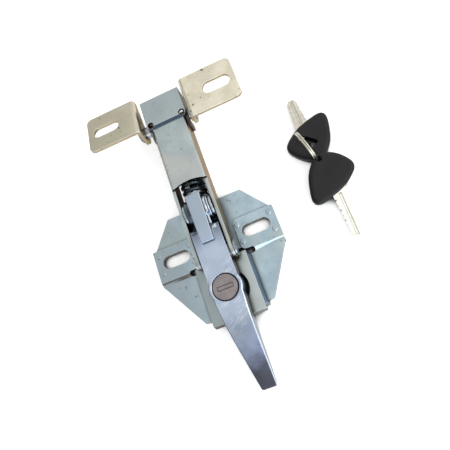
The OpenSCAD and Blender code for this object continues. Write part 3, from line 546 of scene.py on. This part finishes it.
def rounded(node, width, weld, even):
    """A copy of a node's shape with its outer edges rounded, each as far as its own room allows."""
    bm = bmesh.new()
    bm.from_mesh(frame["nodes"][node].data)
    share = bm.edges.layers.float.new("bevel_weight_edge")
    bmesh.ops.remove_doubles(bm, verts=bm.verts, dist=weld)
    bmesh.ops.dissolve_limit(bm, angle_limit=FLAT_UNDER, verts=bm.verts, edges=bm.edges)
    bm.normal_update()
    outer = [edge for edge in bm.edges if edge.is_manifold and edge.is_convex]
    chosen = {edge for edge in outer if edge.calc_face_angle() > SHARP_OVER}
    widths = {}
    for edge in chosen:
        widths[edge] = min([width] + [room(face, edge, chosen) for face in edge.link_faces])
    if even:
        widths = evened(widths)
    for edge, own in widths.items():
        edge[share] = own / width

    sharp = as_mesh(bm, node)
    for _ in range(EDGE_SLOT + 1):
        sharp.materials.append(None)
    whole = linked(node + "_sharp", sharp)
    bevel = whole.modifiers.new("round", "BEVEL")
    bevel.limit_method = "WEIGHT"
    bevel.offset_type = "OFFSET"
    bevel.width = width
    bevel.segments = EDGE_SEGMENTS
    bevel.use_clamp_overlap = False
    bevel.material = EDGE_SLOT
    mesh = applied(whole)

    # marks the rounding's own faces, which the finishes brighten as rubbed wear with a painted highlight
    worn_and_highlit_edge = mesh.attributes.new("edge", "FLOAT_COLOR", "CORNER")
    for face in mesh.polygons:
        on_edge = float(face.material_index == EDGE_SLOT)
        for index in face.loop_indices:
            worn_and_highlit_edge.data[index].color = (on_edge, on_edge, on_edge, 1.0)
        face.material_index = 0
    placed(mesh, node)


# Soft key bows

BOWS = ("key_bow_1", "key_bow_2")
BOW_STEP = 0.4 * MM                # between the outline's points
BOW_CORNER = 3.6 * MM              # length along the outline over which its corners are evened out
BOW_TOP_IN = 3.2 * MM              # the upper edge's rounding, inwards and down
BOW_TOP_DOWN = 2.2 * MM
BOW_LOWER_EDGE = 0.9 * MM          # the lower edge's bevel
BOW_SUNK = 0.05 * MM               # how far the new top and bottom lie inside the node's own
HOLE_CORNER = 0.4 * MM             # the same length for the outline that the holes are found in
HOLE_INSET = 0.5 * MM              # how far inside the bow's outline the holes are looked for
HOLE_PAST = 1 * MM                 # how far the holes' cutters stand past the faces
QUARTER_TURN = [math.radians(angle) for angle in range(0, 91, 10)]


def soft_outline(points, step, spread):
    """The points' hull, walked in even steps and evened out over a length along it."""
    hull = [Vector(points[i]) for i in convex_hull_2d(points)]
    sides = list(zip(hull, hull[1:] + hull[:1]))
    count = round(sum((b - a).length for a, b in sides) / step)
    walked = []
    start = 0.0
    for a, b in sides:
        length = (b - a).length
        while start < length and len(walked) < count:
            walked.append(a + (b - a) * (start / length))
            start += step
        start -= length

    reach = round(3 * spread / step)
    window = range(-reach, reach + 1)
    weights = [math.exp(-0.5 * (k * step / spread) ** 2) for k in window]
    total = sum(weights)
    softened = []
    for i in range(len(walked)):
        near = [walked[(i + k) % len(walked)] for k in window]
        softened.append(sum((at * weight for at, weight in zip(near, weights)), Vector((0, 0))) / total)
    return softened


def inset(outline, by):
    """An outline moved inwards."""
    count = len(outline)
    moved = []
    for i, at in enumerate(outline):
        along = (outline[(i + 1) % count] - outline[i - 1]).normalized()
        moved.append(at + Vector((-along.y, along.x)) * by)
    return moved


def area(outline):
    """The area inside an outline."""
    return sum(a.x * b.y - b.x * a.y for a, b in zip(outline, outline[1:] + outline[:1])) / 2


def stacked(rings):
    """A closed mesh through rings of points, from the lowest to the highest."""
    bm = bmesh.new()
    rings = [[bm.verts.new(at) for at in ring] for ring in rings]
    for lower, upper in zip(rings, rings[1:]):
        for i in range(len(lower)):
            bm.faces.new((lower[i - 1], lower[i], upper[i], upper[i - 1]))
    bm.faces.new(rings[0])
    bm.faces.new(rings[-1])
    bmesh.ops.recalc_face_normals(bm, faces=bm.faces)
    return as_mesh(bm, "stacked")


def less(mesh, other):
    """One mesh with another cut out of it."""
    whole = linked("whole", mesh)
    tool = linked("tool", other)
    cut = whole.modifiers.new("cut", "BOOLEAN")
    cut.operation = "DIFFERENCE"
    cut.solver = "EXACT"
    cut.object = tool
    result = applied(whole)
    bpy.data.objects.remove(tool)
    return result


def cushion(node):
    """A bow with soft corners and a broad soft upper edge, and with the node's own holes."""
    source = frame["nodes"][node].data.copy()
    up = max(source.polygons, key=lambda face: face.area * (face.normal.z > 0.5)).normal.copy()
    across = up.orthogonal().normalized()
    onward = up.cross(across)

    def ring(outline, level):
        return [across * at.x + onward * at.y + up * level for at in outline]

    flat = [Vector((v.co.dot(across), v.co.dot(onward))) for v in source.vertices]
    heights = [v.co.dot(up) for v in source.vertices]
    low = min(heights) + BOW_SUNK
    high = max(heights) - BOW_SUNK

    # The holes are what the node leaves open inside its own outline
    inner = inset(soft_outline(flat, BOW_STEP, HOLE_CORNER), HOLE_INSET)
    holes = less(stacked([ring(inner, low - HOLE_PAST), ring(inner, high + HOLE_PAST)]), source)

    # The softened outline is scaled back up to the area of the node's hull
    outline = soft_outline(flat, BOW_STEP, BOW_CORNER)
    middle = sum(outline, Vector((0, 0))) / len(outline)
    growth = math.sqrt(area([flat[i] for i in convex_hull_2d(flat)]) / area(outline))
    outline = [middle + (at - middle) * growth for at in outline]

    profile = [(BOW_LOWER_EDGE, low), (0.0, low + BOW_LOWER_EDGE)]
    for turn in QUARTER_TURN:
        inwards = BOW_TOP_IN * (1 - math.cos(turn))
        profile.append((inwards, high - BOW_TOP_DOWN + BOW_TOP_DOWN * math.sin(turn)))
    placed(less(stacked([ring(inset(outline, by), level) for by, level in profile]), holes), node)


for node, width in ROUNDED.items():
    blade = node in BLADES
    rounded(node, width, BLADE_WELD if blade else WELD, not blade)
for node in BOWS:
    cushion(node)

for node, obj in frame["nodes"].items():
    if node not in ROUNDED and node not in BOWS:
        obj.data.materials.clear()
        obj.data.materials.append(finish_of(node))


# Floor, light and camera

FLOOR_HALF = 3.0
FLOOR_Z = -0.2 * MM
FLOOR_REACH = 30 * MM
FLOOR_SAMPLES = 16
BLACK = (0.0, 0.0, 0.0, 1.0)
WHITE = (1.0, 1.0, 1.0, 1.0)

# Directions in the studio, from the lock
UP = (0, 0, 1)
LEFT = (-1, 0, 0.1)
FRONT_ABOVE = (-0.2, -0.66, 0.72)
WINDOW = (0.25, -0.94, 0.25)
WINDOW_COLOUR = (0.75, 0.88, 1.0)


def make_floor():
    """White floor that glows a little where it is open, with a painted shadow where things hem it in: there
    its glow goes and its colour darkens, so that deep gaps stay dark.
    """
    mesh = bpy.data.meshes.new("floor")
    corners = [(-1, -1), (1, -1), (1, 1), (-1, 1)]
    mesh.from_pydata([(x * FLOOR_HALF, y * FLOOR_HALF, FLOOR_Z) for x, y in corners], [], [(0, 1, 2, 3)])
    floor = linked("floor", mesh)
    g = Graph("floor")
    rays = g.add("ShaderNodeLightPath").outputs
    seen = g.math("MAXIMUM", rays["Is Camera Ray"], rays["Is Glossy Ray"])
    seen = g.math("MAXIMUM", seen, rays["Is Transmission Ray"])
    open_sky = g.open_sky(FLOOR_REACH, FLOOR_SAMPLES)
    # painted shadow: glow and colour both fall away where things hem the floor in
    glow = g.times(seen, g.between(open_sky, 0.30, 0.45, 0.0, 0.45))
    shadowed_white = g.between(open_sky, 0.28, 0.45, 0.03, 0.88)
    g.set(Base_Color=g.mix(shadowed_white, BLACK, WHITE), Roughness=0.9)
    g.set(Emission_Color=WHITE, Emission_Strength=glow)
    mesh.materials.append(g.material)


class Sky(Nodes):
    """The studio round the lock: brightness by direction."""

    def __init__(self):
        self.world = bpy.data.worlds.new("studio")
        super().__init__(self.world)
        self.way = self.coords["Generated"]

    def towards(self, way, low, high, to_low, to_high):
        """Smooth step of the cosine between the ray and a direction."""
        cosine = self.vector("DOT_PRODUCT", {0: self.way, 1: Vector(way).normalized()}, "Value")
        return self.between(cosine, low, high, to_low, to_high)

    def tinted(self, colour, level):
        return self.vector("SCALE", {0: colour, "Scale": level})


def make_world():
    """A pale wall all round, a tent overhead that is darker to the left, and a bluish window in front."""
    sky = Sky()
    tent = sky.towards(UP, 0.0, 0.75, 0.14, 1.0)
    tent = sky.times(tent, sky.towards(LEFT, -0.2, 1.0, 1.22, 0.55))
    tent = sky.times(tent, sky.towards(LEFT, 0.6, 0.95, 1.0, 0.5))
    tent = sky.times(tent, sky.towards(FRONT_ABOVE, 0.80, 0.97, 1.0, 0.72))
    wall = sky.towards(UP, 0.15, 0.40, 0.85, 0.0)
    window = sky.towards(WINDOW, 0.86, 0.98, 0.0, 4.0)
    pale = sky.tinted((1.0, 1.0, 1.0), sky.plus(tent, wall))
    total = sky.vector("ADD", {0: pale, 1: sky.tinted(WINDOW_COLOUR, window)})
    sky.put(sky.tree.nodes["Background"].inputs["Color"], total)
    bpy.context.scene.world = sky.world


def area_light(name, at, target, size, power, colour):
    lamp = bpy.data.lights.new(name, "AREA")
    lamp.size = size
    lamp.energy = power
    lamp.color = colour
    obj = linked(name, lamp)
    obj.location = at
    obj.rotation_euler = (Vector(target) - Vector(at)).to_track_quat("-Z", "Y").to_euler()


def make_camera():
    data = bpy.data.cameras.new("camera")
    data.sensor_width = SENSOR
    data.sensor_height = SENSOR
    data.sensor_fit = "HORIZONTAL"
    data.lens = LENS
    data.clip_start = 10 * MM
    camera = linked("camera", data)
    back = -CAMERA_FORWARD.normalized()
    right = (CAMERA_RIGHT - CAMERA_RIGHT.dot(back) * back).normalized()
    up = back.cross(right)
    turn = Matrix((right, up, back)).transposed().to_4x4()
    camera.matrix_world = Matrix.Translation(CAMERA_AT) @ turn
    bpy.context.scene.camera = camera


make_floor()
make_world()
area_light("side_light", at=(0.75, -0.10, 0.55), target=(0.02, 0.02, 0.0), size=0.4, power=1.2,
           colour=(1.0, 0.98, 0.95))
make_camera()
bpy.context.scene.view_settings.view_transform = "Standard"
